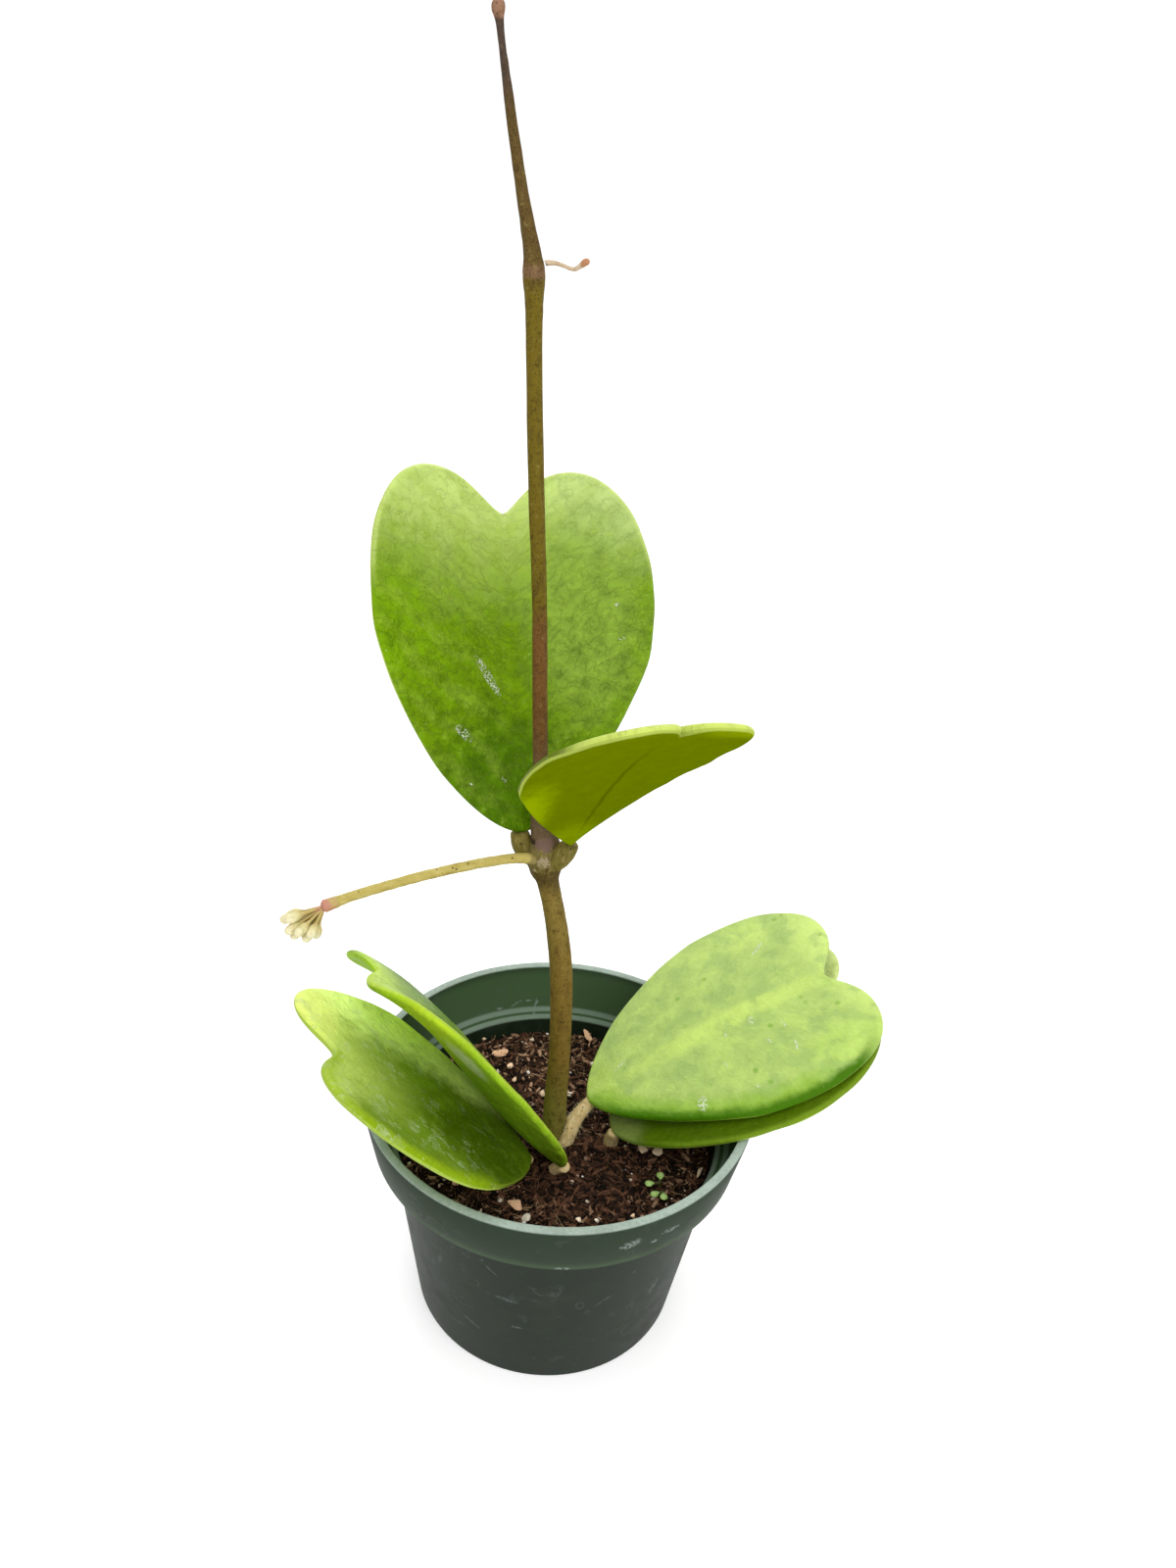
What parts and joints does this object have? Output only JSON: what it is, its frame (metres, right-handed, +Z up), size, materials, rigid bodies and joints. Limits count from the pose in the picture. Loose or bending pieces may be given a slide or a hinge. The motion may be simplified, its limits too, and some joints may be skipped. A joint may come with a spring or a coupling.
{
  "type": "potted hoya plant",
  "caption": "Potted sweetheart hoya with thick heart-shaped leaves, a tall bare vine shoot and a stalk of flower buds, in a round plastic nursery pot.",
  "frame": {"origin": "centre of the underside of the pot, on the surface that it stands on", "axes": "+Z up along the vine; -Y towards the side with the flower stalk and the front leaves; +X right as seen from there"},
  "size_m": [0.2212, 0.1688, 0.4601],
  "materials": {
    "pot_plastic": "matte, slightly scuffed dark green",
    "potting_mix": "rough, damp, fibrous",
    "vine_bark": "matte olive brown bark with fine dark specks",
    "leaf_mid": "thick waxy leaf, soft satin",
    "leaf_low": "thick waxy leaf, soft satin",
    "leaf_stalk": "corky, matte",
    "flower_stalk": "satin, finely specked",
    "bud_cream": "waxy, soft satin",
    "young_shoot": "matte",
    "seedling_green": "satin"
  },
  "bodies": {
    "root": {"pot": "pot_plastic", "soil": "potting_mix", "vine": "vine_bark", "side_shoot": "young_shoot", "peduncle": "flower_stalk", "flower_buds": "bud_cream", "seedling_rear": "seedling_green", "seedling_front": "seedling_green", "leaf_upper_back": "leaf_mid", "petiole_upper_back": "leaf_stalk", "leaf_upper_right": "leaf_mid", "petiole_upper_right": "leaf_stalk", "leaf_lower_right_top": "leaf_low", "petiole_lower_right_top": "leaf_stalk", "leaf_lower_right_bottom": "leaf_low", "petiole_lower_right_bottom": "leaf_stalk", "leaf_lower_left_outer": "leaf_low", "petiole_lower_left_outer": "leaf_stalk", "leaf_lower_left_inner": "leaf_low", "petiole_lower_left_inner": "leaf_stalk"}
  },
  "joints": []
}
